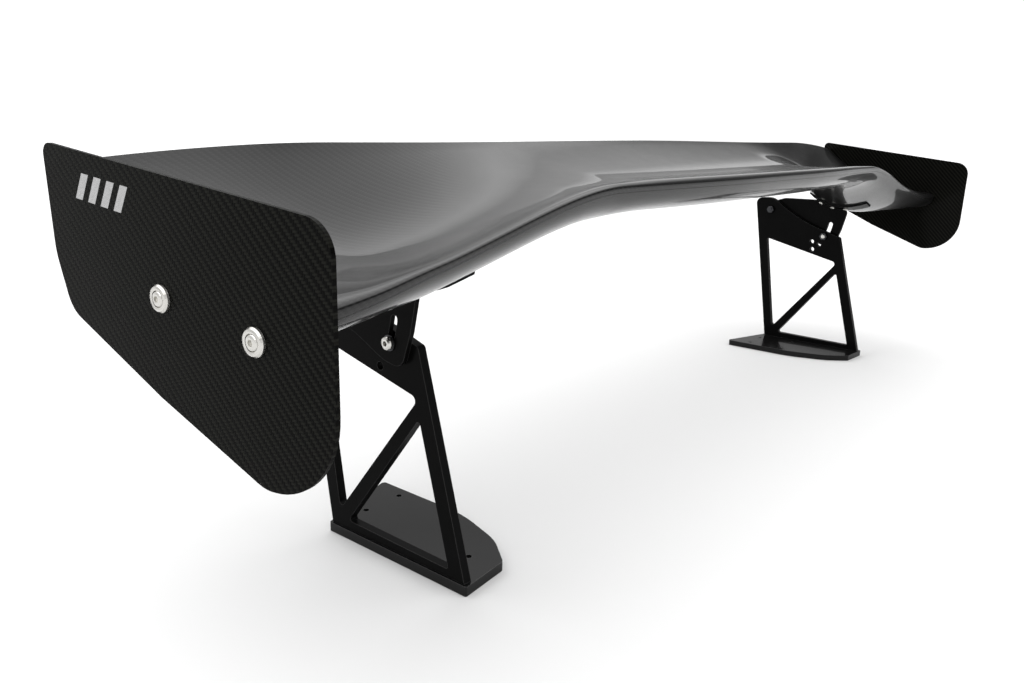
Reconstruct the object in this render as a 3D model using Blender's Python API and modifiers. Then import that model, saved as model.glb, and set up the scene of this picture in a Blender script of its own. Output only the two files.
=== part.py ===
"""Adjustable racing rear wing: a carbon aerofoil with two end plates, carried by two pedestals.

Frame: X runs along the span, -Y is the leading edge (front), +Z is up. The undersides of the two
base plates lie on Z = 0 and X = 0 is the mid-plane. Units are metres.
"""

import math

import bmesh
import bpy
from mathutils import Matrix, Vector

for old in list(bpy.data.objects):
    bpy.data.objects.remove(old, do_unlink=True)

# ---------------------------------------------------------------- driving dimensions
GAP = 0.0003  # clearance between neighbouring pieces
CUT = 0.0010  # how far a cutter runs on past the face that it opens
POINT = 0.0006  # chamfer at the end of a bolt or screw

# Aerofoil. Tips are set steeper than the raised centre section.
HALF_SPAN = 0.8476  # mid-plane to the inner face of an end plate, at Y = 0
TOE = 0.0788  # outward lean of the end plates per metre rearwards (4.5 degrees)
TOE_ANGLE = math.atan(TOE)
NOSE_Z_CENTRE, NOSE_Z_OUTER, NOSE_Z_TIP = 0.3815, 0.3249, 0.3108
DROOP_FROM, DROOP_TO = 0.4106, 0.7574  # where the nose drops from the centre to the outer panel
NOSE_Y_CENTRE, NOSE_Y_OUTER, NOSE_Y_TIP = -0.1203, -0.1066, -0.1172
TAIL_Z_CENTRE, TAIL_Z_OUTER, TAIL_Z_TIP = 0.4268, 0.4238, 0.4095
TAIL_Y_CENTRE, TAIL_Y_TIP = 0.1173, 0.1229
CAMBER_CENTRE, CAMBER_OUTER, CAMBER_TIP = 0.1273, 0.2859, 0.1367  # fractions of the chord
# Distances from the mid-plane over which each of these eases from one value to the next
NOSE_DIP_TIP = (0.68, 0.84)
NOSE_SWEEP, NOSE_SWEEP_TIP = (0.10, 0.45), (0.60, 0.84)
TAIL_DIP, TAIL_SWEEP = (0.00, 0.50), (0.30, 0.84)
TAIL_CURL_FROM, TAIL_CURL_REACH = 0.60, 0.24
CAMBER_GROWS, CAMBER_FADES = (0.30, 0.65), (0.65, 0.84)
LEAN_FROM = 0.70  # the tip sections start to lean with the end plates here
THICKNESS = 0.1617  # fraction of the chord
BLUNTNESS = 1.74  # nose fullness: 1 is the usual four-digit nose, and the radius goes as its square
CREST = 0.30  # chord fraction of the greatest thickness, behind which the form is the usual one
EDGE_HALF = 0.0007  # least half-thickness, at the nose split and at the tail
SKIN = 0.0018
SPAN_STEPS = 44
CHORD_STEPS = 15
NOSE_ROWS = (0.0, 0.0010, 0.0040)  # extra chord fractions round the nose
FRONT_SPAR, REAR_SPAR, SPAR_HALF = 0.235, 0.645, 0.0075  # chord fractions
BOND = 0.0008  # bond line between a skin and the spars, ribs and inserts
RIB_WIDTH = 0.012

# End plates
PLATE_T = 0.0034
PLATE_HOLE_R = 0.0034
PLATE_BOLTS = ((-0.0040, 0.3214), (-0.1040, 0.3066))  # (y, z) of the rear and front bolts

# Pedestal uprights and base plates
UPRIGHT_OUT = 0.6040  # outer face of the upright
UPRIGHT_T = 0.0100
BASE_T = 0.0106
BASE_OUT = 0.6062
BASE_HOLE_R = 0.0035
BASE_HOLES = ((0.5085, 0.0545), (0.5085, 0.1250), (0.5600, -0.0350), (0.5600, 0.1250))
BASE_SCREWS = (-0.0578, 0.1135)  # y of the screws up into the upright
BASE_SCREW_R, BASE_SCREW_HEAD_R, BASE_SCREW_TOP = 0.0024, 0.0046, 0.0215
BASE_SCREW_NECK_Z, BASE_SCREW_RIM_Z, BASE_SCREW_FACE_Z = 0.0034, 0.0011, 0.0005
BASE_SINK_R, BASE_SINK_RIM_R, BASE_SINK_RIM_Z = 0.0029, 0.0050, 0.0012
BASE_SCREW_SOCKET, BASE_SCREW_SOCKET_Z = 0.0030, 0.0030
UPRIGHT_BORE_R, UPRIGHT_BORE_TOP = 0.0028, 0.0225

# Brackets, pivot and lock bolt
BRACKET_IN, BRACKET_OUT = 0.6052, 0.6108
PIVOT = (0.1430, 0.2850)  # (y, z) of the angle-of-attack axis
LOCK = (0.0252, 0.2386)  # (y, z) of the lock bolt
SLOT_SWEEP = math.radians(11.5)  # slot length, measured about the pivot
BOLT_R = 0.0040
BOLT_HOLE_R = 0.0045
INDEX_HOLES = ((0.0490, 0.2255), (0.0337, 0.2215), (0.0470, 0.2095))
FLANGE_T = 0.0040
FLANGE_INNER, FLANGE_FRONT, FLANGE_REAR = 0.5785, 0.155, 0.630  # x, then two chord fractions
FLANGE_GAP = 0.0005
FLANGE_SCREW_X = 0.5905
FLANGE_SCREWS = (0.315, 0.415, 0.515)  # chord fractions
FLANGE_SCREW_R, FLANGE_SCREW_HOLE_R = 0.0022, 0.0026

# Fasteners: head radius, head height, height of the dome, shank radius, socket across flats
SOCKET_FLOOR = 0.35  # floor of a socket, as a share of the head's height
PLATE_BOLT_HEAD = (0.0057, 0.0026, 0.0012, 0.0025, 0.0045)
PLATE_BOLT_L = 0.0145
CUP_R, CUP_BORE_R, CUP_SEAT_R, CUP_SEAT_Z = 0.0105, 0.0036, 0.0062, 0.0010
CUP_CROWN = ((0.0062, 0.0030), (0.0076, 0.0034), (0.0090, 0.0029), (0.0102, 0.0015))
FLANGE_SCREW_HEAD = (0.0042, 0.0024, 0.0010, FLANGE_SCREW_R, 0.0025)
FLANGE_SCREW_L = 0.0135
MAIN_BOLT_HEAD = (0.0069, 0.0044, 0.0022, BOLT_R, 0.0050)
SPACER_R, SPACER_T = 0.0078, 0.0006
WASHER_R, WASHER_T = 0.0080, 0.0012
NUT_ACROSS, NUT_H = 0.0130, 0.0065
NUT_END = 0.0080  # how far a main bolt reaches past the upright's inner face
RIB_BORE_R = 0.0028

# ---------------------------------------------------------------- scene helpers
wing_parts = bpy.data.collections.new("racing_rear_wing")
cutters = bpy.data.collections.new("cutters")
cutters.hide_render = True
bpy.context.scene.collection.children.link(wing_parts)
bpy.context.scene.collection.children.link(cutters)


def material(name, colour, metallic=0.0, roughness=0.4, coat=0.0):
    made = bpy.data.materials.new(name)
    made.use_nodes = True
    shader = made.node_tree.nodes["Principled BSDF"]
    shader.inputs["Base Color"].default_value = (*colour, 1.0)
    shader.inputs["Metallic"].default_value = metallic
    shader.inputs["Roughness"].default_value = roughness
    shader.inputs["Coat Weight"].default_value = coat
    return made


SURFACES = {
    "carbon_gloss": ((0.020, 0.020, 0.022), 0.0, 0.25, 1.0),
    "carbon_satin": ((0.018, 0.018, 0.018), 0.0, 0.45, 0.2),
    "black_anodised": ((0.012, 0.012, 0.012), 0.6, 0.40, 0.0),
    "stainless": ((0.620, 0.620, 0.600), 1.0, 0.25, 0.0),
    "aluminium": ((0.700, 0.710, 0.720), 1.0, 0.35, 0.0),
    "black_oxide": ((0.030, 0.030, 0.032), 0.8, 0.45, 0.0),
    "glass_fibre": ((0.350, 0.380, 0.300), 0.0, 0.60, 0.0),
    "nylon": ((0.750, 0.740, 0.700), 0.0, 0.50, 0.0),
}


def finish(obj, surface, smooth=True, collection=wing_parts):
    """Give the object its own copy of a surface and file it in its collection."""
    for owner in list(obj.users_collection):
        owner.objects.unlink(obj)
    collection.objects.link(obj)
    if collection is cutters:
        obj.hide_render = True
        obj.display_type = "WIRE"
        return obj
    colour, metallic, roughness, coat = SURFACES[surface]
    obj.data.materials.clear()
    obj.data.materials.append(material(obj.name, colour, metallic, roughness, coat))
    if smooth:
        obj.data.shade_smooth()
        obj.data.set_sharp_from_angle(angle=math.radians(32))
    return obj


def new_mesh_object(name, mesh_data):
    obj = bpy.data.objects.new(name, mesh_data)
    bpy.context.scene.collection.objects.link(obj)
    return obj


def evaluated_mesh(obj, name):
    """The object's final shape as a plain, welded mesh in world space."""
    bpy.context.view_layer.update()
    graph = bpy.context.evaluated_depsgraph_get()
    data = bpy.data.meshes.new_from_object(obj.evaluated_get(graph), depsgraph=graph)
    data.name = name
    data.transform(obj.matrix_world)
    shape = bmesh.new()
    shape.from_mesh(data)
    bmesh.ops.remove_doubles(shape, verts=shape.verts, dist=1e-6)
    bmesh.ops.recalc_face_normals(shape, faces=shape.faces)
    shape.to_mesh(data)
    shape.free()
    return data


def baked(obj, name):
    """Replace the object, its modifiers and its cutters by one mesh object."""
    data = evaluated_mesh(obj, name)
    bpy.data.objects.remove(obj, do_unlink=True)
    return new_mesh_object(name, data)


def boolean(obj, other, operation, solver="EXACT"):
    cut = obj.modifiers.new(operation.lower(), "BOOLEAN")
    cut.operation = operation
    cut.solver = solver
    cut.object = other
    if other.name not in cutters.objects:
        finish(other, None, collection=cutters)


# ---------------------------------------------------------------- outlines
def rounded(corners, steps=7):
    """Closed outline through (u, v, radius) corners, each rounded by a true arc."""
    points = []
    count = len(corners)
    for i, (u, v, radius) in enumerate(corners):
        here = Vector((u, v))
        before = (Vector(corners[i - 1][:2]) - here).normalized()
        after = (Vector(corners[(i + 1) % count][:2]) - here).normalized()
        half = before.angle(after) / 2
        if radius <= 0 or half > math.radians(88):
            points.append(here)
            continue
        middle = here + (before + after).normalized() * (radius / math.sin(half))
        reach = radius / math.tan(half)
        start = here + before * reach - middle
        turn = start.angle_signed(here + after * reach - middle)
        used = max(2, min(steps, round(steps * abs(turn) / math.radians(110)) + 1))
        for k in range(used + 1):
            points.append(middle + Matrix.Rotation(-turn * k / used, 2) @ start)
    return points


def circle(u, v, radius, steps=20):
    turns = (math.tau * k / steps for k in range(steps))
    return [Vector((u + radius * math.cos(a), v + radius * math.sin(a))) for a in turns]


def plate(name, outlines, thickness):
    """Flat plate in the local XY plane, centred on Z = 0; outlines after the first are openings."""
    shape = bpy.data.curves.new(name, "CURVE")
    shape.dimensions = "2D"
    shape.fill_mode = "BOTH"
    shape.extrude = thickness / 2
    for outline in outlines:
        spline = shape.splines.new("POLY")
        spline.points.add(len(outline) - 1)
        for slot, point in zip(spline.points, outline):
            slot.co = (point.x, point.y, 0.0, 1.0)
        spline.use_cyclic_u = True
    obj = bpy.data.objects.new(name, shape)
    bpy.context.scene.collection.objects.link(obj)
    return obj


UPRIGHT_TURN = (math.pi / 2, 0.0, math.pi / 2)  # local X, Y, Z become world Y, Z, X


def standing_plate(name, outlines, inner, outer, side):
    """Plate in a plane of constant X, from inner to outer, on the given side of the wing."""
    obj = plate(name, outlines, outer - inner)
    obj.rotation_euler = UPRIGHT_TURN
    obj.location = (side * (inner + outer) / 2, 0.0, 0.0)
    return baked(obj, name)


def turned(name, profile, steps):
    """Solid of revolution about local Z; profile is (radius, z) from the top down."""
    data = bpy.data.meshes.new(name)
    points = [(radius, 0.0, z) for radius, z in profile]
    data.from_pydata(points, [(i, i + 1) for i in range(len(points) - 1)], [])
    obj = new_mesh_object(name, data)
    screw = obj.modifiers.new("turn", "SCREW")
    screw.steps = screw.render_steps = steps
    screw.use_merge_vertices = True
    screw.merge_threshold = 1e-5
    screw.use_smooth_shade = True
    return obj


def drum(name, radius, low, high, steps=20):
    """Plain cylinder about local Z, used as a cutter."""
    return turned(name, ((0.0, high), (radius, high), (radius, low), (0.0, low)), steps)


def hex_prism(name, across, low, high, turn=0.0):
    data = bpy.data.meshes.new(name)
    shape = bmesh.new()
    bmesh.ops.create_cone(
        shape, cap_ends=True, segments=6, radius1=across / math.sqrt(3),
        radius2=across / math.sqrt(3), depth=high - low,
        matrix=Matrix.Translation((0, 0, (low + high) / 2)) @ Matrix.Rotation(turn, 4, "Z"),
    )
    shape.to_mesh(data)
    shape.free()
    return new_mesh_object(name, data)


def along_x(side):
    """Local +Z points outboard."""
    return Matrix.Rotation(side * math.pi / 2, 4, "Y")


def place(obj, matrix):
    obj.matrix_world = matrix
    return obj


# ---------------------------------------------------------------- aerofoil surface
def ease(value, low, high):
    part = min(max((value - low) / (high - low), 0.0), 1.0)
    return part * part * (3 - 2 * part)


ROOT, LINEAR, SQUARE, CUBE, FOURTH = 1.4845, -0.630, -1.758, 1.4215, -0.518  # four-digit series


def plain_form(fraction):
    series = LINEAR * fraction + SQUARE * fraction**2 + CUBE * fraction**3 + FOURTH * fraction**4
    return ROOT * math.sqrt(fraction) + series


def blunt_nose_series():
    """Terms of the form ahead of the crest: a fuller root term, level and equally curved at the crest."""
    root = ROOT * BLUNTNESS
    bend = 2 * SQUARE + 6 * CUBE * CREST + 12 * FOURTH * CREST**2 - ROOT / 4 * CREST**-1.5
    terms = Matrix((
        (CREST, CREST**2, CREST**3), (1, 2 * CREST, 3 * CREST**2), (0, 2, 6 * CREST)
    )).inverted() @ Vector((
        plain_form(CREST) - root * math.sqrt(CREST),
        -root / (2 * math.sqrt(CREST)),
        bend + root / 4 * CREST**-1.5,
    ))
    return root, *terms


NOSE_FORM = blunt_nose_series()


def half_thickness(fraction):
    if fraction >= CREST:
        return THICKNESS * plain_form(fraction)
    root, first, second, third = NOSE_FORM
    series = first * fraction + second * fraction**2 + third * fraction**3
    return THICKNESS * (root * math.sqrt(fraction) + series)


def station(span):
    """Nose, tail and camber of the section at this distance from the mid-plane."""
    away = abs(span)
    nose_z = NOSE_Z_CENTRE + (NOSE_Z_OUTER - NOSE_Z_CENTRE) * ease(away, DROOP_FROM, DROOP_TO)
    nose_z += (NOSE_Z_TIP - NOSE_Z_OUTER) * ease(away, *NOSE_DIP_TIP)
    nose_y = NOSE_Y_CENTRE + (NOSE_Y_OUTER - NOSE_Y_CENTRE) * ease(away, *NOSE_SWEEP)
    nose_y += (NOSE_Y_TIP - NOSE_Y_OUTER) * ease(away, *NOSE_SWEEP_TIP)
    tail_z = TAIL_Z_CENTRE + (TAIL_Z_OUTER - TAIL_Z_CENTRE) * ease(away, *TAIL_DIP)
    tail_z += (TAIL_Z_TIP - TAIL_Z_OUTER) * max((away - TAIL_CURL_FROM) / TAIL_CURL_REACH, 0.0) ** 2
    tail_y = TAIL_Y_CENTRE + (TAIL_Y_TIP - TAIL_Y_CENTRE) * ease(away, *TAIL_SWEEP)
    camber = CAMBER_CENTRE + (CAMBER_OUTER - CAMBER_CENTRE) * ease(away, *CAMBER_GROWS)
    camber += (CAMBER_TIP - CAMBER_OUTER) * ease(away, *CAMBER_FADES)
    return Vector((nose_y, nose_z)), Vector((tail_y, tail_z)), camber


def wing_point(span, fraction, side, depth=0.0, squeeze=True):
    """Point on the upper (+1) or lower (-1) surface, sunk by depth towards the camber line."""
    nose, tail, camber = station(span)
    chord = (tail - nose).length
    run = (tail - nose) / chord
    rise = Vector((-run.y, run.x))
    offset = max(half_thickness(fraction) * chord, EDGE_HALF) - depth
    if squeeze:
        offset = max(offset, GAP / 2)
    line = nose + run * (fraction * chord)
    point = line + rise * (side * offset - 4 * camber * fraction * (1 - fraction) * chord)
    lean = TOE * point.x * ease(abs(span), LEAN_FROM, HALF_SPAN)
    return Vector((span + lean * math.copysign(1.0, span), point.x, point.y))


def loft(name, rings):
    """Closed solid through rings of equal length, capped at both ends."""
    size = len(rings[0])
    points = [point for ring in rings for point in ring]
    faces = [tuple(range(size)), tuple((len(rings) - 1) * size + k for k in reversed(range(size)))]
    for i in range(len(rings) - 1):
        for k in range(size):
            after = (k + 1) % size
            faces.append((i * size + k, (i + 1) * size + k, (i + 1) * size + after, i * size + after))
    data = bpy.data.meshes.new(name)
    data.from_pydata(points, [], faces)
    shape = bmesh.new()
    shape.from_mesh(data)
    bmesh.ops.recalc_face_normals(shape, faces=shape.faces)
    shape.to_mesh(data)
    shape.free()
    return new_mesh_object(name, data)


def spans(low, high, steps):
    return [low + (high - low) * k / steps for k in range(steps + 1)]


CHORD = [*NOSE_ROWS, *((k / CHORD_STEPS) ** 1.75 for k in range(1, CHORD_STEPS + 1))]
SPAN_END = HALF_SPAN - GAP
SPANS = spans(-SPAN_END, SPAN_END, SPAN_STEPS)


def facet_point(span, fraction, side, depth, squeeze=False):
    """Like wing_point, but on the flat facets between the moulded stations of the skins."""
    place_x = min(max((span + SPAN_END) / (SPANS[1] - SPANS[0]), 0.0), SPAN_STEPS - 1e-9)
    i, j = int(place_x), max(k for k in range(len(CHORD) - 1) if CHORD[k] <= fraction)
    u, v = place_x - i, (fraction - CHORD[j]) / (CHORD[j + 1] - CHORD[j])
    corners = [
        wing_point(SPANS[a], CHORD[b], side, depth, squeeze)
        for a, b in ((i, j), (i + 1, j), (i, j + 1), (i + 1, j + 1))
    ]
    return corners[0].lerp(corners[1], u).lerp(corners[2].lerp(corners[3], u), v)


def skin(name, side):
    rings = []
    for span in SPANS:
        outside = [wing_point(span, f, side) for f in CHORD]
        inside = [wing_point(span, f, side, SKIN) for f in reversed(CHORD)]
        rings.append(outside + inside)
    return loft(name, rings)


def filler(name, span_list, fractions):
    """Solid that fills the hollow between the skins over these chord fractions."""
    rings = []
    for span in span_list:
        upper = [facet_point(span, f, 1, SKIN + BOND) for f in fractions]
        lower = [facet_point(span, f, -1, SKIN + BOND) for f in reversed(fractions)]
        rings.append(upper + lower)
    return loft(name, rings)


def lower_frame(span, fraction):
    """Matrix on the lower surface with local +Z pointing out of the wing, downwards."""
    here = wing_point(span, fraction, -1)
    across = wing_point(span + 0.004, fraction, -1) - wing_point(span - 0.004, fraction, -1)
    along = wing_point(span, fraction + 0.01, -1) - wing_point(span, fraction - 0.01, -1)
    normal = across.cross(along).normalized()
    if normal.z > 0:
        normal.negate()
    first = along.normalized()
    second = normal.cross(first)
    frame = Matrix((first, second, normal)).transposed().to_4x4()
    frame.translation = here
    return frame


upper_skin = skin("wing_upper_skin", 1)
lower_skin = skin("wing_lower_skin", -1)
SPAR_SPANS = [-0.830, *SPANS[1:-1], 0.830]
front_spar = filler("front_spar", SPAR_SPANS, (FRONT_SPAR - SPAR_HALF, FRONT_SPAR + SPAR_HALF))
rear_spar = filler("rear_spar", SPAR_SPANS, (REAR_SPAR - SPAR_HALF, REAR_SPAR + SPAR_HALF))
finish(upper_skin, "carbon_gloss")
finish(front_spar, "glass_fibre")
finish(rear_spar, "glass_fibre")

RIB_CHORD = CHORD[3:16]
INSERT_CHORD = CHORD[9:14]
INSERT_SPANS = SPANS[37:39]  # one moulded bay, just inboard of and over the bracket


# ---------------------------------------------------------------- fasteners
def socket_bolt(name, sizes, shank_l, steps=20, surface="stainless"):
    """Button-head bolt: the head stands on local Z = 0 and the shank runs down."""
    head_r, head_h, dome, shank_r, socket = sizes
    profile = (
        (0.0, head_h), (head_r * 0.62, head_h), (head_r * 0.90, head_h - dome * 0.45),
        (head_r, head_h - dome), (head_r, 0.0), (shank_r, 0.0), (shank_r, -shank_l + POINT),
        (shank_r - POINT, -shank_l), (0.0, -shank_l),
    )
    obj = turned(name, profile, steps)
    recess = hex_prism(name + "_socket", socket, head_h * SOCKET_FLOOR, head_h + CUT)
    boolean(obj, recess, "DIFFERENCE")
    made = baked(obj, name)
    bpy.data.objects.remove(recess, do_unlink=True)
    return finish(made, surface)


def washer(name, hole, outer, thickness, surface, steps=20):
    """Flat washer from local Z = 0 to its thickness."""
    profile = ((hole, thickness), (outer, thickness), (outer, 0.0), (hole, 0.0), (hole, thickness))
    return finish(baked(turned(name, profile, steps), name), surface)


def nut(name, across, hole, height, surface):
    body = hex_prism(name, across, 0.0, height)
    bore = drum(name + "_bore", hole, -CUT, height + CUT)
    boolean(body, bore, "DIFFERENCE")
    made = baked(body, name)
    bpy.data.objects.remove(bore, do_unlink=True)
    return finish(made, surface)


def cup_washer(name):
    """Domed finishing washer that the end-plate bolt sits in."""
    profile = (
        *CUP_CROWN, (CUP_R, 0.0), (CUP_BORE_R, 0.0), (CUP_BORE_R, CUP_SEAT_Z),
        (CUP_SEAT_R, CUP_SEAT_Z), CUP_CROWN[0],
    )
    return finish(baked(turned(name, profile, 40), name), "stainless")


# ---------------------------------------------------------------- the two sides
def end_plate_frame(side):
    """Plate frame: local X forward to rear, local Y up, local Z outboard on the +X side."""
    turn = Matrix.Rotation(-side * TOE_ANGLE, 4, "Z")
    return Matrix.Translation((side * HALF_SPAN, 0, 0)) @ turn


def build_end_plate(side, tag):
    outline = rounded(
        (
            (-0.1768, 0.3885, 0.025), (-0.1760, 0.2100, 0.066), (-0.1060, 0.2045, 0.035),
            (0.0060, 0.2460, 0.300), (0.1190, 0.2960, 0.028), (0.1340, 0.3400, 0.060),
            (0.1372, 0.4250, 0.009),
        ),
        18,
    )
    holes = [circle(y, z, PLATE_HOLE_R, 16) for y, z in PLATE_BOLTS]
    obj = plate("end_plate_" + tag, [outline, *holes], PLATE_T)
    obj.rotation_euler = UPRIGHT_TURN
    obj.location = (side * PLATE_T / 2, 0, 0)
    made = baked(obj, obj.name)
    made.data.transform(end_plate_frame(side))
    finish(made, "carbon_satin")

    rib_rings = spans(HALF_SPAN - 2 * GAP - RIB_WIDTH, HALF_SPAN - 2 * GAP, 1)
    rib = filler("end_rib_" + tag, [side * span for span in rib_rings], RIB_CHORD)
    for i, (y, z) in enumerate(PLATE_BOLTS):
        spot = end_plate_frame(side) @ Matrix.Translation((0, y, z)) @ along_x(side)
        bore = place(drum("rib_bore_%s_%d" % (tag, i), RIB_BORE_R, -0.030, 0.010, 16), spot)
        boolean(rib, bore, "DIFFERENCE")
    finish(rib, "aluminium", smooth=False)

    for (y, z), where in zip(PLATE_BOLTS, ("rear", "front")):
        face = end_plate_frame(side) @ Matrix.Translation((side * (PLATE_T + GAP), y, z)) @ along_x(side)
        place(cup_washer("cup_washer_%s_%s" % (where, tag)), face)
        bolt = socket_bolt("plate_bolt_%s_%s" % (where, tag), PLATE_BOLT_HEAD, PLATE_BOLT_L, 32)
        place(bolt, face @ Matrix.Translation((0, 0, CUP_SEAT_Z + GAP)))


def slot_outline():
    """Arc slot about the pivot: the lock bolt sits in its lower end at rest."""
    reach = (Vector(LOCK) - Vector(PIVOT)).length
    angle = math.atan2(LOCK[1] - PIVOT[1], LOCK[0] - PIVOT[0]) + math.tau
    first, last = angle + math.radians(0.5), angle - SLOT_SWEEP
    points = []
    for k in range(9):
        turn = first + (last - first) * k / 8
        points.append((reach - BOLT_HOLE_R, turn))
    ends = []
    for k in range(1, 8):
        ends.append(math.pi * k / 8)
    outline = [Vector((PIVOT[0] + r * math.cos(a), PIVOT[1] + r * math.sin(a))) for r, a in points]
    tip = Vector((math.cos(last), math.sin(last)))
    away = Vector((tip.y, -tip.x))
    centre = Vector(PIVOT) + tip * reach
    outline += [centre + (away * math.sin(a) - tip * math.cos(a)) * BOLT_HOLE_R for a in ends]
    for r, a in reversed(points):
        outline.append(Vector(PIVOT) + Vector((math.cos(a), math.sin(a))) * (r + 2 * BOLT_HOLE_R))
    tip = Vector((math.cos(first), math.sin(first)))
    away = Vector((-tip.y, tip.x))
    centre = Vector(PIVOT) + tip * reach
    outline += [centre + (away * math.sin(a) + tip * math.cos(a)) * BOLT_HOLE_R for a in ends]
    return outline


def build_bracket(side, tag):
    top = []
    for fraction in (0.56, 0.48, 0.40, 0.33):
        ends = [facet_point(x, fraction, -1, -FLANGE_GAP) for x in (BRACKET_IN, BRACKET_OUT)]
        low = min(ends, key=lambda point: point.z)
        top.append((low.y, low.z - 0.0010, 0.0))
    outline = rounded(
        (
            (-0.0038, 0.2532, 0.020), (0.0090, 0.2150, 0.013), (0.0345, 0.2195, 0.030),
            (0.0744, 0.2395, 0.060), (0.1500, 0.2640, 0.016), (0.1640, 0.2950, 0.016),
            (0.1200, 0.3100, 0.030), *top, (-0.0118, 0.2900, 0.010),
        ),
        7,
    )
    openings = [circle(*PIVOT, BOLT_HOLE_R), slot_outline()]
    web = standing_plate("bracket_" + tag, [outline, *openings], BRACKET_IN, BRACKET_OUT, side)

    rows = []
    fractions = [FLANGE_FRONT, *CHORD[8:14], FLANGE_REAR]
    for x in (FLANGE_INNER, BRACKET_OUT - 0.0002):
        above = [facet_point(x, f, -1, -FLANGE_GAP) for f in fractions]
        below = [facet_point(x, f, -1, -FLANGE_GAP - FLANGE_T) for f in reversed(fractions)]
        rows.append([Vector((side * p.x, p.y, p.z)) for p in above + below])
    flange = loft("flange_" + tag, rows)
    boolean(web, flange, "UNION")
    for i, fraction in enumerate(FLANGE_SCREWS):
        frame = lower_frame(side * FLANGE_SCREW_X, fraction)
        bore = place(drum("flange_bore_%s_%d" % (tag, i), FLANGE_SCREW_HOLE_R, -0.004, 0.012, 14), frame)
        boolean(web, bore, "DIFFERENCE")
        boolean(lower_skin, bore, "DIFFERENCE")
    finish(web, "black_anodised")

    insert = filler("bracket_insert_" + tag, [side * x for x in INSERT_SPANS], INSERT_CHORD)
    finish(insert, "aluminium", smooth=False)
    for i, fraction in enumerate(FLANGE_SCREWS):
        frame = lower_frame(side * FLANGE_SCREW_X, fraction)
        deep = place(drum("insert_bore_%s_%d" % (tag, i), FLANGE_SCREW_HOLE_R, -0.012, 0.006, 14), frame)
        boolean(insert, deep, "DIFFERENCE")
        screw = socket_bolt(
            "flange_screw_%d_%s" % (i + 1, tag), FLANGE_SCREW_HEAD, FLANGE_SCREW_L, 14
        )
        place(screw, frame @ Matrix.Translation((0, 0, FLANGE_T + FLANGE_GAP + GAP + 0.0004)))


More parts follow.
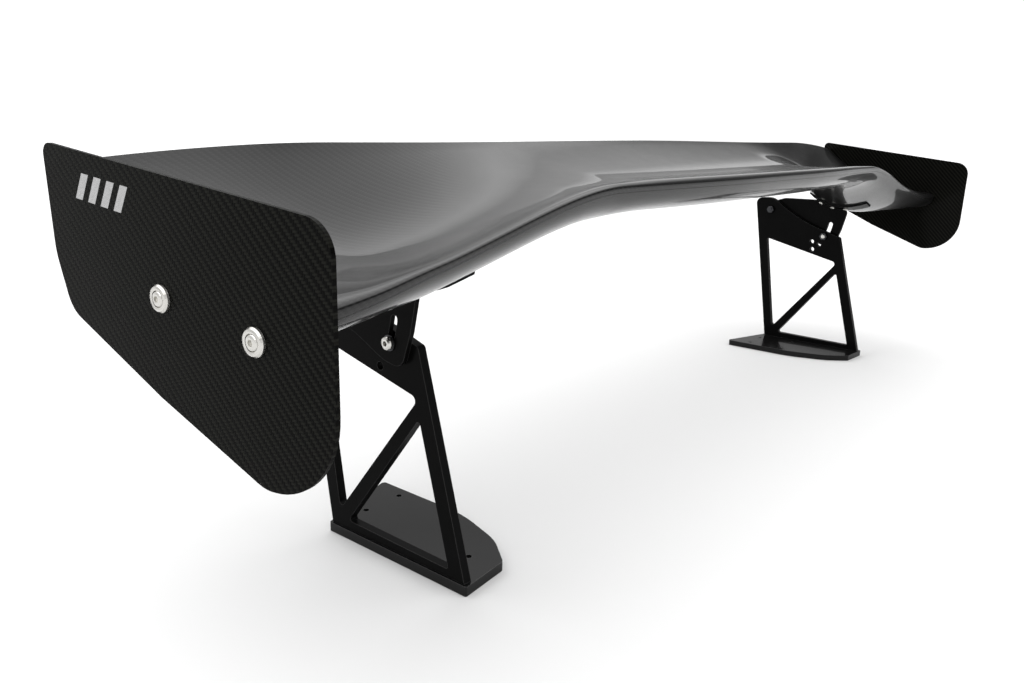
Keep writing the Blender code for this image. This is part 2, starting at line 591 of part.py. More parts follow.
def build_pedestal(side, tag):
    outline = rounded(
        (
            (-0.0690, BASE_T + GAP, 0.0), (0.1300, BASE_T + GAP, 0.0), (0.1785, 0.3080, 0.012),
            (0.1420, 0.3105, 0.030), (0.1035, 0.2841, 0.0), (0.0738, 0.2678, 0.0),
            (0.0473, 0.2566, 0.0), (-0.0068, 0.2385, 0.004),
        ),
        6,
    )
    upper = rounded(((0.1462, 0.2244, 0.003), (-0.0070, 0.1868, 0.006), (0.1162, 0.0310, 0.004)), 6)
    lower = rounded(((-0.0078, 0.1665, 0.003), (0.1030, 0.0215, 0.003), (-0.0478, 0.0192, 0.003)), 5)
    holes = [circle(y, z, BOLT_HOLE_R) for y, z in (*INDEX_HOLES, LOCK, PIVOT)]
    inner = UPRIGHT_OUT - UPRIGHT_T
    upright = standing_plate(
        "upright_" + tag, [outline, upper, lower, *holes], inner, UPRIGHT_OUT, side
    )

    edge = (
        (BASE_OUT, -0.0735, 0.002), (0.5440, -0.0680, 0.006), (0.5150, -0.0320, 0.080),
        (0.4935, 0.0350, 0.160), (0.4935, 0.1690, 0.004), (BASE_OUT, 0.1330, 0.002),
    )
    base_outline = rounded([(side * x, y, r) for x, y, r in edge], 16)
    base_holes = [circle(side * x, y, BASE_HOLE_R, 16) for x, y in BASE_HOLES]
    base = plate("base_plate_" + tag, [base_outline, *base_holes], BASE_T)
    base.location = (0, 0, BASE_T / 2)
    base = baked(base, base.name)

    middle = UPRIGHT_OUT - UPRIGHT_T / 2
    for i, y in enumerate(BASE_SCREWS):
        spot = Matrix.Translation((side * middle, y, 0.0))
        profile = (
            (0.0, BASE_T + CUT), (BASE_SINK_R, BASE_T + CUT), (BASE_SINK_R, BASE_SCREW_NECK_Z),
            (BASE_SINK_RIM_R, BASE_SINK_RIM_Z), (BASE_SINK_RIM_R, -CUT), (0.0, -CUT),
        )
        sink = turned("base_sink_%s_%d" % (tag, i), profile, 18)
        boolean(base, place(sink, spot), "DIFFERENCE", "MANIFOLD")
        blind = drum("upright_bore_%s_%d" % (tag, i), UPRIGHT_BORE_R, BASE_T / 2, UPRIGHT_BORE_TOP, 16)
        boolean(upright, place(blind, spot), "DIFFERENCE")
        profile = (
            (0.0, BASE_SCREW_TOP), (BASE_SCREW_R - POINT, BASE_SCREW_TOP),
            (BASE_SCREW_R, BASE_SCREW_TOP - POINT), (BASE_SCREW_R, BASE_SCREW_NECK_Z),
            (BASE_SCREW_HEAD_R, BASE_SCREW_RIM_Z), (BASE_SCREW_HEAD_R, BASE_SCREW_FACE_Z),
            (0.0, BASE_SCREW_FACE_Z),
        )
        screw = turned("base_screw_%d_%s" % (i + 1, tag), profile, 16)
        recess = hex_prism("base_socket_%s_%d" % (tag, i), BASE_SCREW_SOCKET, -CUT, BASE_SCREW_SOCKET_Z)
        boolean(screw, recess, "DIFFERENCE")
        screw = finish(baked(screw, "base_screw_%d_%s" % (i + 1, tag)), "black_oxide")
        bpy.data.objects.remove(recess, do_unlink=True)
        place(screw, spot)
    finish(upright, "black_anodised")
    finish(base, "black_anodised")

    # Pivot bolt and lock bolt, each with a spacer, an outboard washer and an inboard nut.
    for kind, (y, z) in (("pivot", PIVOT), ("lock", LOCK)):
        axis = Matrix.Translation((0, y, z))

        def at(x):
            return axis @ Matrix.Translation((side * x, 0, 0)) @ along_x(side)

        spacer = washer(
            "%s_spacer_%s" % (kind, tag), BOLT_R + GAP, SPACER_R, SPACER_T, "nylon", 18
        )
        place(spacer, at(UPRIGHT_OUT + GAP))
        collar = washer(
            "%s_washer_%s" % (kind, tag), BOLT_R + GAP, WASHER_R, WASHER_T, "stainless", 24
        )
        place(collar, at(BRACKET_OUT + GAP))
        seat = BRACKET_OUT + 2 * GAP + WASHER_T
        grip = seat - (UPRIGHT_OUT - UPRIGHT_T) + GAP
        bolt = socket_bolt("%s_bolt_%s" % (kind, tag), MAIN_BOLT_HEAD, grip + NUT_END, 24)
        place(bolt, at(seat))
        tight = nut("%s_nut_%s" % (kind, tag), NUT_ACROSS, BOLT_R + GAP, NUT_H, "stainless")
        place(tight, at(UPRIGHT_OUT - UPRIGHT_T - GAP - NUT_H))


for side, tag in ((-1, "left"), (1, "right")):
    build_end_plate(side, tag)
    build_bracket(side, tag)
    build_pedestal(side, tag)

finish(lower_skin, "carbon_gloss")
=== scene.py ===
# Racing rear wing on two pedestals: looks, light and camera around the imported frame.
# Metres. X runs along the span, -Y is the leading edge, Z is up from the underside of the base plates.
import math
import bpy
from mathutils import Matrix, Vector


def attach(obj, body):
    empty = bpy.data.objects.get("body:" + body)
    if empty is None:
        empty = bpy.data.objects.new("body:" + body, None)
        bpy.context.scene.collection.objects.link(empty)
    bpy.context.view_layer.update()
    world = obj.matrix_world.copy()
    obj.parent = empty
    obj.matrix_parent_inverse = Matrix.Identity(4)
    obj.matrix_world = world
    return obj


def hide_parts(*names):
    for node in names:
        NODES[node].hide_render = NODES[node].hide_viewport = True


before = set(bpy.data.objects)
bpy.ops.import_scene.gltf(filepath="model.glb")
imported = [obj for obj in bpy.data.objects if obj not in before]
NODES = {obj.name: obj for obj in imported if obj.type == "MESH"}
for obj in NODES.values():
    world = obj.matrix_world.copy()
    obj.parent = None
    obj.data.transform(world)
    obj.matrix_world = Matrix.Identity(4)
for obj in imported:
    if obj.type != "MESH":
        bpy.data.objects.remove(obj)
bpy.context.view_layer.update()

# ---------------------------------------------------------------- camera
CAMERA_AT = Vector((-1.1347, -0.5513, 0.4437))
CAMERA_YAW = math.radians(51.0097)
CAMERA_PITCH = math.radians(-14.6282)
CAMERA_ROLL = math.radians(1.3486)
CAMERA_LENS = 28.959
SENSOR = 36.0
NEAREST = 0.02  # nothing closer to the camera than this is drawn


def add_camera():
    ahead = Vector((
        math.sin(CAMERA_YAW) * math.cos(CAMERA_PITCH),
        math.cos(CAMERA_YAW) * math.cos(CAMERA_PITCH),
        math.sin(CAMERA_PITCH),
    ))
    level = Vector((math.cos(CAMERA_YAW), -math.sin(CAMERA_YAW), 0.0))
    over = level.cross(ahead)
    across = level * math.cos(CAMERA_ROLL) + over * math.sin(CAMERA_ROLL)
    upward = over * math.cos(CAMERA_ROLL) - level * math.sin(CAMERA_ROLL)
    data = bpy.data.cameras.new("camera")
    data.lens = CAMERA_LENS
    data.sensor_width = SENSOR
    data.sensor_fit = "HORIZONTAL"
    data.clip_start = NEAREST
    camera = bpy.data.objects.new("camera", data)
    camera.matrix_world = Matrix.Translation(CAMERA_AT) @ Matrix(
        (across, upward, -ahead)
    ).transposed().to_4x4()
    bpy.context.scene.collection.objects.link(camera)
    bpy.context.scene.camera = camera


add_camera()


# ---------------------------------------------------------------- node helpers
EDGE_SAMPLES = 4
EDGE_GAIN = 4.0  # how steeply an edge shows as the rounded normal leaves the flat one


class Tree:
    """Short words for wiring a material's nodes."""

    def __init__(self, tree):
        self.tree = tree

    def node(self, kind, **values):
        made = self.tree.nodes.new(kind)
        for key, value in values.items():
            setattr(made, key, value)
        return made

    def put(self, socket, value):
        if isinstance(value, bpy.types.NodeSocket):
            self.tree.links.new(value, socket)
        else:
            socket.default_value = value

    def math(self, operation, *values):
        made = self.node("ShaderNodeMath", operation=operation)
        for socket, value in zip(made.inputs, values):
            self.put(socket, value)
        return made.outputs[0]

    def mix(self, amount, low, high):
        made = self.node("ShaderNodeMix", data_type="RGBA")
        self.put(made.inputs["Factor"], amount)
        for name, value in (("A", low), ("B", high)):
            socket = next(s for s in made.inputs if s.name == name and s.type == "RGBA")
            self.put(socket, value)
        return next(s for s in made.outputs if s.type == "RGBA")

    def blend(self, amount, low, high):
        """low to high as amount goes from 0 to 1, for plain numbers."""
        made = self.node("ShaderNodeMapRange", clamp=True)
        self.put(made.inputs["Value"], amount)
        self.put(made.inputs["To Min"], low)
        self.put(made.inputs["To Max"], high)
        return made.outputs[0]

    def noise(self, vector, scale, detail=2.0, roughness=0.5):
        made = self.node("ShaderNodeTexNoise")
        self.put(made.inputs["Vector"], vector)
        self.put(made.inputs["Scale"], scale)
        self.put(made.inputs["Detail"], detail)
        self.put(made.inputs["Roughness"], roughness)
        return made.outputs["Fac"]

    def stretch(self, vector, x, y, z):
        made = self.node("ShaderNodeVectorMath", operation="MULTIPLY")
        self.put(made.inputs[0], vector)
        self.put(made.inputs[1], (x, y, z))
        return made.outputs[0]

    def bump(self, height, strength, distance):
        made = self.node("ShaderNodeBump")
        self.put(made.inputs["Height"], height)
        self.put(made.inputs["Strength"], strength)
        self.put(made.inputs["Distance"], distance)
        return made.outputs["Normal"]

    def edges(self, radius):
        """Close to 1 along an edge narrower than the radius, and 0 on open faces."""
        bevel = self.node("ShaderNodeBevel", samples=EDGE_SAMPLES)
        self.put(bevel.inputs["Radius"], radius)
        flat = self.node("ShaderNodeNewGeometry")
        dot = self.node("ShaderNodeVectorMath", operation="DOT_PRODUCT")
        self.put(dot.inputs[0], bevel.outputs[0])
        self.put(dot.inputs[1], flat.outputs["Normal"])
        return self.math("MULTIPLY", self.math("SUBTRACT", 1.0, dot.outputs["Value"]), EDGE_GAIN)


def grey(value, tint=(1.0, 1.0, 1.0)):
    return (value * tint[0], value * tint[1], value * tint[2], 1.0)


def object_place(tree):
    return tree.node("ShaderNodeTexCoord").outputs["Object"]


def new_material(name):
    material = bpy.data.materials.new(name)
    material.use_nodes = True
    tree = Tree(material.node_tree)
    shader = material.node_tree.nodes["Principled BSDF"]
    return material, tree, shader


def set_gloss(shader, specular, coat, coat_roughness):
    shader.inputs["Specular IOR Level"].default_value = specular
    shader.inputs["Coat Weight"].default_value = coat
    shader.inputs["Coat Roughness"].default_value = coat_roughness


# ---------------------------------------------------------------- carbon cloth
TOE = 0.0788  # outward lean of the end plates per metre rearwards
TOW = 0.0020  # width of one tow of 2x2 twill
TWILL_REPEAT = 4.0  # tows before the pattern comes round again, half of them over and half under
CROWN_RISE = 0.6  # share of a tow's height that comes and goes along it
FIBRES = 14.0  # visible fibre streaks across a tow
FIBRE_BREAKS = 0.4  # changes of a streak along it, per tow width
WANDER, WANDER_SCALE, WANDER_APART = 0.0022, 9.0, 7.3  # sideways drift of the tows from straight


def twill_group():
    """Node group: place in the cloth, in tows, to height, which set of tows is on top, and streaks."""
    group = bpy.data.node_groups.new("twill", "ShaderNodeTree")
    for name in ("U", "V"):
        group.interface.new_socket(name, in_out="INPUT", socket_type="NodeSocketFloat")
    for name in ("Height", "Weft", "Streak"):
        group.interface.new_socket(name, in_out="OUTPUT", socket_type="NodeSocketFloat")
    tree = Tree(group)
    given = tree.node("NodeGroupInput")
    result = tree.node("NodeGroupOutput")
    u, v = given.outputs["U"], given.outputs["V"]

    def crown(position):
        """A parabola: 0 at the sides of a tow and 1 on its middle."""
        centred = tree.math("MULTIPLY_ADD", position, 2.0, -1.0)
        return tree.math("SUBTRACT", 1.0, tree.math("MULTIPLY", centred, centred))

    def cyclic(along, across):
        stepped = tree.math("ADD", along, tree.math("FLOOR", across))
        return tree.math("FLOORED_MODULO", stepped, TWILL_REPEAT)

    def tow_height(across, along):
        """Highest in the middle of the tow's width and of its float over the other tows."""
        arch = tree.math("MULTIPLY_ADD", crown(along), CROWN_RISE, 1.0 - CROWN_RISE)
        return tree.math("MULTIPLY", crown(tree.math("FRACT", across)), arch)

    per_float = 2.0 / TWILL_REPEAT
    weft_phase = cyclic(u, v)
    weft = tree.math("GREATER_THAN", weft_phase, TWILL_REPEAT / 2)
    warp_height = tow_height(u, tree.math("MULTIPLY", cyclic(v, u), per_float))
    weft_height = tow_height(v, tree.math("MULTIPLY_ADD", weft_phase, per_float, -1.0))
    height = tree.blend(weft, warp_height, weft_height)

    def streak(x, y):
        place = tree.node("ShaderNodeCombineXYZ")
        tree.put(place.inputs[0], tree.math("MULTIPLY", u, x))
        tree.put(place.inputs[1], tree.math("MULTIPLY", v, y))
        return tree.noise(place.outputs[0], scale=1.0, detail=1.0)

    streaks = tree.blend(weft, streak(FIBRES, FIBRE_BREAKS), streak(FIBRE_BREAKS, FIBRES))
    tree.put(result.inputs["Height"], height)
    tree.put(result.inputs["Weft"], weft)
    tree.put(result.inputs["Streak"], streaks)
    return group


TWILL = twill_group()


def cloth(tree, u, v):
    """The twill at a place given in metres, with a slow wander so that the tows aren't ruler straight."""
    made = tree.node("ShaderNodeGroup", node_tree=TWILL)
    place = tree.node("ShaderNodeCombineXYZ")
    tree.put(place.inputs[0], u)
    tree.put(place.inputs[1], v)
    for name, value, shift in (("U", u, 0.0), ("V", v, WANDER_APART)):
        moved = tree.node("ShaderNodeVectorMath", operation="ADD")
        tree.put(moved.inputs[0], place.outputs[0])
        tree.put(moved.inputs[1], (shift, shift, 0.0))
        wander = tree.noise(moved.outputs[0], WANDER_SCALE, detail=1.0)
        offset = tree.math("MULTIPLY", tree.math("SUBTRACT", wander, 0.5), WANDER)
        tree.put(made.inputs[name], tree.math("MULTIPLY", tree.math("ADD", value, offset), 1.0 / TOW))
    return made.outputs["Height"], made.outputs["Weft"], made.outputs["Streak"]


# A plain painted mark on the outer faces: four slanted bars below the plate's top edge.
BARS_Y, BARS_Z, BARS_HALF = 0.0640, 0.3910, 0.0100
BAR_PITCH, BAR_SHARE, BAR_LEAN, BAR_COUNT = 0.0165, 0.55, 0.55, 4
MARK_SLOPE = 0.116  # fall of the top edge towards the front
MARK_OUTSIDE_X = 0.8485  # only faces further out than this carry it, at Y = 0


def within(tree, value, middle, half):
    return tree.math("LESS_THAN", tree.math("ABSOLUTE", tree.math("SUBTRACT", value, middle)), half)


def stripes(tree, xyz):
    """1 on the painted mark and 0 elsewhere."""
    x, y, z = xyz
    level = tree.math("SUBTRACT", z, tree.math("MULTIPLY", y, MARK_SLOPE))
    middle_level = BARS_Z - BARS_Y * MARK_SLOPE
    slanted = tree.math("ADD", y, tree.math("MULTIPLY", level, BAR_LEAN))
    middle = BARS_Y + middle_level * BAR_LEAN
    count = tree.math("MULTIPLY_ADD", slanted, 1.0 / BAR_PITCH, BAR_COUNT / 2 - middle / BAR_PITCH)
    bars = tree.math(
        "MULTIPLY",
        tree.math("LESS_THAN", tree.math("FRACT", count), BAR_SHARE),
        within(tree, count, BAR_COUNT / 2, BAR_COUNT / 2),
    )
    outside = tree.math(
        "GREATER_THAN",
        tree.math("SUBTRACT", tree.math("ABSOLUTE", x), tree.math("MULTIPLY", y, TOE)),
        MARK_OUTSIDE_X,
    )
    in_band = within(tree, level, middle_level, BARS_HALF)
    return tree.math("MULTIPLY", tree.math("MULTIPLY", bars, in_band), outside)


RESIN_IOR = 1.5
PAINTED_TOW_SHADE = (0.45, 1.15)  # painted shade in the gaps between tows and painted highlight on their crowns, as factors on the cloth's colour
STREAK_SHADE = (0.72, 1.28)
PATCH_SHADE = (0.86, 1.14)
PAINT_TONE = (0.30, 0.46)
ROUGHER, SMOOTHER = 0.07, 0.05  # spread of the roughness about its middle
STREAK_RELIEF = 0.15  # height of a fibre streak, as a share of a tow's
TOW_RELIEF, RIPPLE_RELIEF = 0.00012, 0.00004


def carbon(name, warp, weft, tint, roughness, specular, coat, coat_roughness, relief, haze=0.0, plate=False):
    """Twill carbon under clear resin: in an end plate's plane, with the mark, or on a skin's cloth map."""
    material, tree, shader = new_material(name)
    place = object_place(tree) if plate else tree.node("ShaderNodeUVMap", uv_map="cloth").outputs[0]
    split = tree.node("ShaderNodeSeparateXYZ")
    tree.put(split.inputs[0], place)
    x, y, z = split.outputs
    u, v = (tree.math("MULTIPLY", y, -1.0), z) if plate else (x, y)
    height, is_weft, streak = cloth(tree, u, v)
    # painted shade in the gaps between tows and painted highlight on their crowns, times the fibre streaks
    shade = tree.math("MULTIPLY", tree.blend(height, *PAINTED_TOW_SHADE), tree.blend(streak, *STREAK_SHADE))
    patch = tree.blend(tree.noise(place, scale=11.0, detail=3.0), *PATCH_SHADE)
    scaled = tree.node("ShaderNodeVectorMath", operation="SCALE")
    # the weft is coloured lighter than the warp of the same cloth, a painted sheen for the light the tows
    # catch across their fibres
    tree.put(scaled.inputs[0], tree.mix(is_weft, grey(warp, tint), grey(weft, tint)))
    tree.put(scaled.inputs["Scale"], tree.math("MULTIPLY", shade, patch))
    colour = scaled.outputs[0]
    if plate:
        wear_and_sheen = tree.blend(tree.noise(place, scale=260.0, detail=3.0, roughness=0.7), *PAINT_TONE)
        paint = tree.node("ShaderNodeCombineXYZ")
        for socket in paint.inputs:
            tree.put(socket, wear_and_sheen)
        colour = tree.mix(stripes(tree, split.outputs), colour, paint.outputs[0])
    tree.put(shader.inputs["Base Color"], colour)
    smear = tree.noise(place, scale=23.0, detail=4.0, roughness=0.6)
    tree.put(shader.inputs["Roughness"], tree.blend(smear, roughness - SMOOTHER, roughness + ROUGHER))
    surface = tree.math("ADD", height, tree.math("MULTIPLY", streak, STREAK_RELIEF))
    tree.put(shader.inputs["Normal"], tree.bump(surface, relief, TOW_RELIEF))
    set_gloss(shader, specular, coat, coat_roughness)
    shader.inputs["Coat IOR"].default_value = RESIN_IOR
    if haze:
        ripple = tree.noise(place, scale=140.0, detail=2.0)
        tree.put(shader.inputs["Coat Normal"], tree.bump(ripple, haze, RIPPLE_RELIEF))
    return material


# warp and weft below are one cloth; the lighter weft colour is a painted sheen
CARBON_WING = carbon(
    "carbon_wing",
    warp=0.0025,
    weft=0.0090,
    tint=(1.0, 1.0, 1.0),
    roughness=0.34,
    specular=0.10,
    coat=0.55,
    coat_roughness=0.03,
    relief=0.5,
    haze=0.2,
)
CARBON_PLATE = carbon(
    "carbon_plate",
    warp=0.0014,
    weft=0.0085,
    tint=(1.0, 1.02, 0.84),
    roughness=0.36,
    specular=0.015,
    coat=0.035,
    coat_roughness=0.12,
    relief=0.8,
    plate=True,
)


# ---------------------------------------------------------------- metals and other stock
GRAIN_PER_METRE = (40.0, 900.0, 60.0)  # fine marks of drawing, along X, Y and Z
EDGE_POLISH = 0.08  # an anodised edge is this much smoother than its face
DULL, BRIGHT = 0.82, 1.10  # spread of a bare metal's colour
CLOUD_SHARE = 0.7  # of that spread, for clouds; the rest lightens the edges, partly wear and partly a painted highlight
POLISHED, MARKED = 0.07, 0.09  # spread of a bare metal's roughness about its middle


def anodised():
    """Black anodised plate, a little lighter along its edges, partly wear and partly a painted highlight."""
    material, tree, shader = new_material("black_anodised")
    place = object_place(tree)
    grain = tree.noise(tree.stretch(place, *GRAIN_PER_METRE), scale=1.0, detail=3.0, roughness=0.6)
    cloud = tree.noise(place, scale=16.0, detail=4.0, roughness=0.6)
    edge = tree.edges(radius=0.0009)
    body = tree.mix(cloud, low=grey(0.0020), high=grey(0.0045))
    # lighter along the edges: wear and a painted highlight
    tree.put(shader.inputs["Base Color"], tree.mix(edge, body, grey(0.060)))
    rough = tree.blend(cloud, low=0.24, high=0.34)
    tree.put(
        shader.inputs["Roughness"],
        tree.math("SUBTRACT", rough, tree.math("MULTIPLY", edge, EDGE_POLISH)),
    )
    tree.put(shader.inputs["Normal"], tree.bump(grain, strength=0.12, distance=0.00002))
    set_gloss(shader, specular=0.012, coat=0.03, coat_roughness=0.08)
    return material


def lacquered():
    """Glossy black plate, with the fine ripple of sprayed lacquer."""
    material, tree, shader = new_material("black_gloss_plate")
    place = object_place(tree)
    cloud = tree.noise(place, scale=22.0, detail=4.0, roughness=0.6)
    peel = tree.noise(place, scale=420.0, detail=2.0)
    body = tree.mix(cloud, low=grey(0.0030), high=grey(0.0060))
    # lighter along the edges: a painted highlight
    tree.put(shader.inputs["Base Color"], tree.mix(tree.edges(radius=0.0012), body, grey(0.07)))
    tree.put(shader.inputs["Roughness"], tree.blend(cloud, low=0.20, high=0.30))
    tree.put(shader.inputs["Normal"], tree.bump(peel, strength=0.10, distance=0.00003))
    set_gloss(shader, specular=0.02, coat=0.36, coat_roughness=0.05)
    return material


def metal(name, colour, roughness, streak=(1.0, 1.0, 1.0), scale=900.0):
    """Turned or milled metal. streak stretches the tool marks."""
    material, tree, shader = new_material(name)
    place = object_place(tree)
    grain = tree.noise(tree.stretch(place, *streak), scale, detail=3.0, roughness=0.6)
    cloud = tree.math("MULTIPLY", tree.noise(place, scale=90.0, detail=3.0), CLOUD_SHARE)
    dark = (*(DULL * c for c in colour), 1.0)
    light = (*(min(1.0, BRIGHT * c) for c in colour), 1.0)
    # random clouds, and lighter edges that are partly wear and partly a painted highlight
    wear_and_sheen = tree.math("ADD", cloud, tree.edges(radius=0.0004))
    tree.put(shader.inputs["Base Color"], tree.mix(wear_and_sheen, dark, light))
    tree.put(shader.inputs["Roughness"], tree.blend(grain, roughness - POLISHED, roughness + MARKED))
    tree.put(shader.inputs["Normal"], tree.bump(grain, strength=0.15, distance=0.00002))
    shader.inputs["Metallic"].default_value = 1.0
    return material


def laminate():
    """Glass cloth in green-grey resin, for the hidden spars and ribs."""
    material, tree, shader = new_material("glass_fibre")
    split = tree.node("ShaderNodeSeparateXYZ")
    tree.put(split.inputs[0], object_place(tree))
    height, is_weft, streak = cloth(tree, split.outputs["Y"], split.outputs["Z"])
    colour = tree.mix(is_weft, low=(0.30, 0.34, 0.24, 1.0), high=(0.38, 0.42, 0.30, 1.0))
    tree.put(shader.inputs["Base Color"], colour)
    tree.put(shader.inputs["Roughness"], tree.blend(streak, low=0.30, high=0.50))
    tree.put(shader.inputs["Normal"], tree.bump(height, strength=0.5, distance=0.0001))
    return material


def nylon():
    """Black nylon of the spacers, faintly speckled."""
    material, tree, shader = new_material("nylon")
    place = object_place(tree)
    speck = tree.noise(place, scale=1500.0, detail=2.0)
    cloud = tree.noise(place, scale=60.0, detail=3.0)
    tree.put(shader.inputs["Base Color"], tree.mix(cloud, low=grey(0.010), high=grey(0.018)))
    tree.put(shader.inputs["Roughness"], tree.blend(cloud, low=0.42, high=0.55))
    tree.put(shader.inputs["Normal"], tree.bump(speck, strength=0.2, distance=0.00003))
    return material


STAINLESS = metal("stainless", colour=(0.62, 0.61, 0.58), roughness=0.22)
ALUMINIUM = metal(
    "aluminium", colour=(0.70, 0.71, 0.72), roughness=0.34, streak=(1.0, 8.0, 1.0), scale=300.0
)
BLACK_OXIDE = metal("black_oxide", colour=(0.055, 0.056, 0.060), roughness=0.30)
GLASS_FIBRE = laminate()
# Each finish with the pieces that have it, one on each side
FINISHES = (
    (CARBON_PLATE, ("end_plate",)),
    (lacquered(), ("base_plate",)),
    (anodised(), ("upright", "bracket")),
    (STAINLESS, ("plate_bolt_rear", "plate_bolt_front", "cup_washer_rear", "cup_washer_front")),
    (STAINLESS, ("flange_screw_1", "flange_screw_2", "flange_screw_3", "lock_bolt")),
    (BLACK_OXIDE, ("pivot_bolt", "pivot_nut", "pivot_washer", "lock_nut", "lock_washer")),
    (BLACK_OXIDE, ("base_screw_1", "base_screw_2")),
    (nylon(), ("pivot_spacer", "lock_spacer")),
    (ALUMINIUM, ("bracket_insert",)),
    (GLASS_FIBRE, ("end_rib",)),
)
# Width of the broken edges of the plates and nuts
DEBURRED = (
    ("end_plate", 0.0004),
    ("base_plate", 0.0007),
    ("upright", 0.0005),
    ("bracket", 0.0004),
    ("pivot_nut", 0.0003),
    ("lock_nut", 0.0003),
)
DEBURR_STEPS = 2  # faces across a broken edge
DEBURR_ANGLE = math.radians(32.0)  # an edge that turns by less stays as it is
WELD_WITHIN = 0.00002  # points this close are one before the edges are broken


def dress(name, material):
    """Gives a frame node its finish."""
    mesh = NODES[name].data
    if not mesh.materials:
        mesh.materials.append(material)
    for index in range(len(mesh.materials)):
        mesh.materials[index] = material


def soften(name, width):
    """Breaks the sharp edges of a frame node, as a deburring tool does."""
    obj = NODES[name]
    if "custom_normal" in obj.data.attributes:
        obj.data.attributes.remove(obj.data.attributes["custom_normal"])
    obj.data.polygons.foreach_set("use_smooth", [False] * len(obj.data.polygons))
    weld = obj.modifiers.new("weld", "WELD")
    weld.merge_threshold = WELD_WITHIN
    bevel = obj.modifiers.new("bevel", "BEVEL")
    bevel.width = width
    bevel.segments = DEBURR_STEPS
    bevel.limit_method = "ANGLE"
    bevel.angle_limit = DEBURR_ANGLE


for side in ("left", "right"):
    for material, parts in FINISHES:
        for part in parts:
            dress(f"{part}_{side}", material)
    for part, width in DEBURRED:
        soften(f"{part}_{side}", width)
for spar in ("front_spar", "rear_spar"):
    dress(spar, GLASS_FIBRE)

# ---------------------------------------------------------------- the wing's skins
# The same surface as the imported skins, in finer steps
GAP = 0.0003  # clearance between neighbouring pieces
HALF_SPAN = 0.8476  # mid-plane to the inner face of an end plate, at Y = 0
NOSE_Z_CENTRE, NOSE_Z_OUTER, NOSE_Z_TIP = 0.3815, 0.3249, 0.3108
DROOP_FROM, DROOP_TO = 0.4106, 0.7574  # where the nose drops from the centre to the outer panel
NOSE_Y_CENTRE, NOSE_Y_OUTER, NOSE_Y_TIP = -0.1203, -0.1066, -0.1172
TAIL_Z_CENTRE, TAIL_Z_OUTER, TAIL_Z_TIP = 0.4268, 0.4238, 0.4095
TAIL_Y_CENTRE, TAIL_Y_TIP = 0.1173, 0.1229
CAMBER_CENTRE, CAMBER_OUTER, CAMBER_TIP = 0.1273, 0.2859, 0.1367  # fractions of the chord
# Distances from the mid-plane over which each of these eases from one value to the next
NOSE_DIP_TIP = (0.68, 0.84)
NOSE_SWEEP, NOSE_SWEEP_TIP = (0.10, 0.45), (0.60, 0.84)
TAIL_DIP, TAIL_SWEEP = (0.00, 0.50), (0.30, 0.84)
TAIL_CURL_FROM, TAIL_CURL_REACH = 0.60, 0.24
CAMBER_GROWS, CAMBER_FADES = (0.30, 0.65), (0.65, 0.84)
LEAN_FROM = 0.70  # the tip sections start to lean with the end plates here
THICKNESS = 0.1617  # fraction of the chord
BLUNTNESS = 1.74  # nose fullness: 1 is the usual four-digit nose, and the radius goes as its square
CREST = 0.30  # chord fraction of the greatest thickness, behind which the form is the usual one
EDGE_HALF, EDGE_FROM = 0.0007, 0.5  # least half-thickness at the tail, and the chord fraction it grows from
SKIN = 0.0018  # thickness of a moulded skin
SPAN_ROWS = 200
CHORD_ROWS, CHORD_PACKING = 90, 2.6  # the power sets the rows closest together round the nose
SHARP_SKIN = math.radians(50.0)  # an edge that turns by more is shaded as a sharp one


def ease(value, low, high):
    part = min(max((value - low) / (high - low), 0.0), 1.0)
    return part * part * (3.0 - 2.0 * part)


ROOT, LINEAR, SQUARE, CUBE, FOURTH = 1.4845, -0.630, -1.758, 1.4215, -0.518  # four-digit series


def plain_form(fraction):
    series = LINEAR * fraction + SQUARE * fraction**2 + CUBE * fraction**3 + FOURTH * fraction**4
    return ROOT * math.sqrt(fraction) + series


def blunt_nose_series():
    """Terms of the form ahead of the crest: a fuller root term, level and equally curved at the crest."""
    root = ROOT * BLUNTNESS
    bend = 2 * SQUARE + 6 * CUBE * CREST + 12 * FOURTH * CREST**2 - ROOT / 4 * CREST**-1.5
    terms = Matrix((
        (CREST, CREST**2, CREST**3), (1, 2 * CREST, 3 * CREST**2), (0, 2, 6 * CREST)
    )).inverted() @ Vector((
        plain_form(CREST) - root * math.sqrt(CREST),
        -root / (2 * math.sqrt(CREST)),
        bend + root / 4 * CREST**-1.5,
    ))
    return root, *terms


NOSE_FORM = blunt_nose_series()


def half_thickness(fraction):
    if fraction >= CREST:
        return THICKNESS * plain_form(fraction)
    root, first, second, third = NOSE_FORM
    series = first * fraction + second * fraction**2 + third * fraction**3
    return THICKNESS * (root * math.sqrt(fraction) + series)


def station(span):
    """Nose (y, z), tail (y, z) and camber of the section at this distance from the mid-plane."""
    away = abs(span)
    nose_z = NOSE_Z_CENTRE + (NOSE_Z_OUTER - NOSE_Z_CENTRE) * ease(away, DROOP_FROM, DROOP_TO)
    nose_z += (NOSE_Z_TIP - NOSE_Z_OUTER) * ease(away, *NOSE_DIP_TIP)
    nose_y = NOSE_Y_CENTRE + (NOSE_Y_OUTER - NOSE_Y_CENTRE) * ease(away, *NOSE_SWEEP)
    nose_y += (NOSE_Y_TIP - NOSE_Y_OUTER) * ease(away, *NOSE_SWEEP_TIP)
    tail_z = TAIL_Z_CENTRE + (TAIL_Z_OUTER - TAIL_Z_CENTRE) * ease(away, *TAIL_DIP)
    tail_z += (TAIL_Z_TIP - TAIL_Z_OUTER) * max((away - TAIL_CURL_FROM) / TAIL_CURL_REACH, 0.0) ** 2
    tail_y = TAIL_Y_CENTRE + (TAIL_Y_TIP - TAIL_Y_CENTRE) * ease(away, *TAIL_SWEEP)
    camber = CAMBER_CENTRE + (CAMBER_OUTER - CAMBER_CENTRE) * ease(away, *CAMBER_GROWS)
    camber += (CAMBER_TIP - CAMBER_OUTER) * ease(away, *CAMBER_FADES)
    return (nose_y, nose_z), (tail_y, tail_z), camber


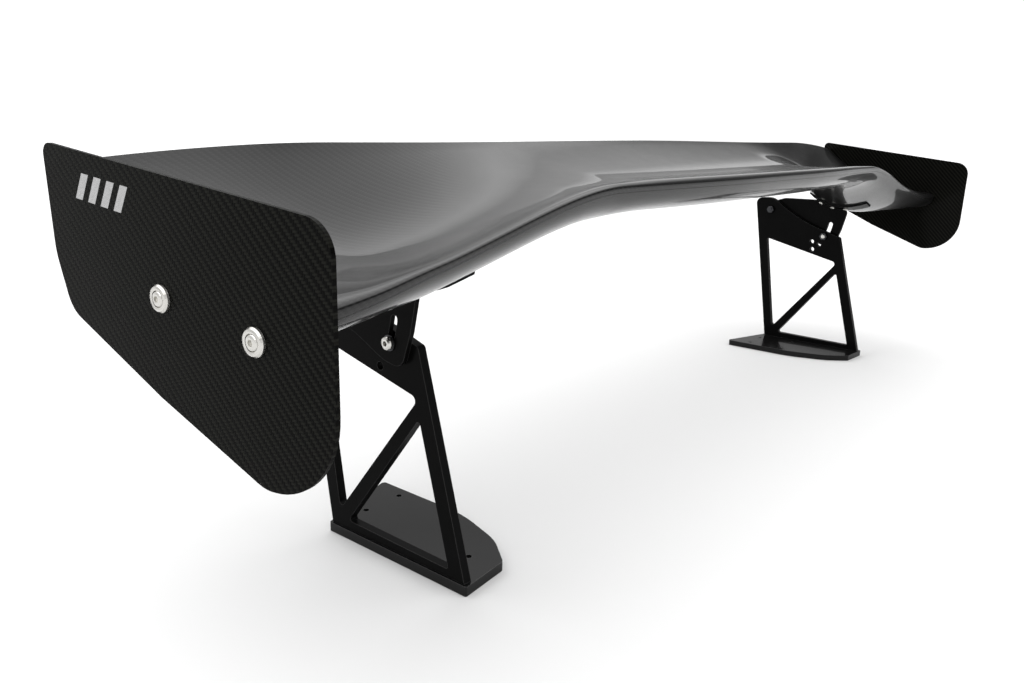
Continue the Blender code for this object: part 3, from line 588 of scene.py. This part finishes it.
def wing_point(span, f, side, depth):
    """A point at chord fraction f, this deep under the upper (side 1) or lower (side -1) face."""
    (nose_y, nose_z), (tail_y, tail_z), camber = station(span)
    run_y, run_z = tail_y - nose_y, tail_z - nose_z
    chord = math.hypot(run_y, run_z)
    run_y, run_z = run_y / chord, run_z / chord
    tail_share = ease(f, EDGE_FROM, 1.0)
    offset = max(half_thickness(f) * chord, EDGE_HALF * tail_share) - depth
    offset = max(offset, GAP / 2)
    lift = side * offset - 4.0 * camber * f * (1.0 - f) * chord
    y = nose_y + run_y * f * chord - run_z * lift
    z = nose_z + run_z * f * chord + run_y * lift
    lean = TOE * y * ease(abs(span), LEAN_FROM, HALF_SPAN)
    return Vector((span + lean * math.copysign(1.0, span), y, z))


def skin(name, side, node):
    """One moulded skin: two layers of points, the faces of both, and a rim round their edges."""
    end = HALF_SPAN - GAP
    spans = [-end + 2.0 * end * i / SPAN_ROWS for i in range(SPAN_ROWS + 1)]
    fractions = [(k / CHORD_ROWS) ** CHORD_PACKING for k in range(CHORD_ROWS + 1)]
    wide = CHORD_ROWS + 1
    points, cloth_at = [], []
    for depth in (0.0, SKIN):
        for span in spans:
            run = 0.0
            last = None
            for f in fractions:
                point = wing_point(span, f, side, depth)
                if last is not None:
                    run += (point - last).length
                last = point
                points.append(point)
                cloth_at.append((span, run))
    count = len(spans) * wide

    def at(layer, i, k):
        return layer * count + i * wide + k

    faces = []
    for i in range(SPAN_ROWS):
        for k in range(CHORD_ROWS):
            outer = (at(0, i, k), at(0, i, k + 1), at(0, i + 1, k + 1), at(0, i + 1, k))
            inner = (at(1, i, k), at(1, i + 1, k), at(1, i + 1, k + 1), at(1, i, k + 1))
            faces += [outer, inner]
        for k in (0, CHORD_ROWS):
            rim = (at(0, i, k), at(0, i + 1, k), at(1, i + 1, k), at(1, i, k))
            faces.append(rim if k == 0 else rim[::-1])
    for i in (0, SPAN_ROWS):
        for k in range(CHORD_ROWS):
            rim = (at(0, i, k), at(1, i, k), at(1, i, k + 1), at(0, i, k + 1))
            faces.append(rim if i == 0 else rim[::-1])
    if side > 0:
        faces = [face[::-1] for face in faces]
    mesh = bpy.data.meshes.new(name)
    mesh.from_pydata(points, [], faces)
    layer = mesh.uv_layers.new(name="cloth")
    for loop in mesh.loops:
        layer.data[loop.index].uv = cloth_at[loop.vertex_index]
    mesh.polygons.foreach_set("use_smooth", [True] * len(mesh.polygons))
    mesh.set_sharp_from_angle(angle=SHARP_SKIN)
    mesh.materials.append(CARBON_WING)
    obj = bpy.data.objects.new(name, mesh)
    bpy.context.scene.collection.objects.link(obj)
    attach(obj, "wing")
    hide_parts(node)


skin("upper_skin_shell", 1, "wing_upper_skin")
skin("lower_skin_shell", -1, "wing_lower_skin")

# ---------------------------------------------------------------- floor and light
FLOOR_SIZE = 60.0
FLOOR_DROP = 0.0004  # below the base plates, so that the two faces don't coincide


def add_floor():
    material, tree, shader = new_material("studio_floor")
    cloud = tree.noise(object_place(tree), scale=1.2, detail=3.0)
    tree.put(shader.inputs["Base Color"], tree.mix(cloud, low=grey(0.66), high=grey(0.69)))
    shader.inputs["Roughness"].default_value = 0.9
    shader.inputs["Specular IOR Level"].default_value = 0.1
    half = FLOOR_SIZE / 2
    mesh = bpy.data.meshes.new("studio_floor")
    corners = [(-half, -half, 0), (half, -half, 0), (half, half, 0), (-half, half, 0)]
    mesh.from_pydata(corners, [], [(0, 1, 2, 3)])
    mesh.materials.append(material)
    floor = bpy.data.objects.new("studio_floor", mesh)
    floor.location.z = -FLOOR_DROP
    bpy.context.scene.collection.objects.link(floor)


# Brightness of the studio by the sine of the height above the horizon, as a share of SKY_TOP
SKY_TOP = 2.5
SKY = ((0.0, 0.42), (0.16, 0.42), (0.24, 0.28), (0.46, 0.34), (0.62, 0.90), (0.80, 1.0), (1.0, 0.9))
# A black flag to the front right, between these heights, that draws the dark line along the nose
DARK_TURN = math.radians(-25.0)
DARK_SIDE = (math.cos(DARK_TURN), math.sin(DARK_TURN), 0.0)
DARK_ACROSS = ((0.0, 0.0), (0.62, 0.0), (0.82, 0.85), (1.0, 0.85))
DARK_HEIGHT = ((0.0, 0.0), (0.15, 0.0), (0.20, 1.0), (0.52, 1.0), (0.64, 0.0), (1.0, 0.0))


def ramp(tree, value, stops):
    """Grey that runs through the (value, level) stops."""
    made = tree.node("ShaderNodeValToRGB")
    elements = made.color_ramp.elements
    elements[0].position, elements[0].color = stops[0][0], grey(stops[0][1])
    elements[1].position, elements[1].color = stops[-1][0], grey(stops[-1][1])
    for position, level in stops[1:-1]:
        elements.new(position).color = grey(level)
    tree.put(made.inputs[0], value)
    return made.outputs[0]


def add_world():
    world = bpy.data.worlds.new("studio")
    world.use_nodes = True
    tree = Tree(world.node_tree)
    background = world.node_tree.nodes["Background"]
    coordinates = tree.node("ShaderNodeTexCoord")
    split = tree.node("ShaderNodeSeparateXYZ")
    tree.put(split.inputs[0], coordinates.outputs["Generated"])
    light = ramp(tree, split.outputs[2], SKY)
    aside = tree.node("ShaderNodeVectorMath", operation="DOT_PRODUCT")
    tree.put(aside.inputs[0], coordinates.outputs["Generated"])
    tree.put(aside.inputs[1], DARK_SIDE)
    shade = tree.math(
        "MULTIPLY",
        ramp(tree, aside.outputs["Value"], DARK_ACROSS),
        ramp(tree, split.outputs[2], DARK_HEIGHT),
    )
    light = tree.math("MULTIPLY", light, tree.math("SUBTRACT", 1.0, shade))
    tree.put(background.inputs["Color"], tree.math("MULTIPLY", light, SKY_TOP))
    background.inputs["Strength"].default_value = 1.0
    bpy.context.scene.world = world


add_floor()
add_world()
bpy.context.scene.view_settings.view_transform = "Standard"

# ---------------------------------------------------------------- final update of the scene
bpy.context.view_layer.update()
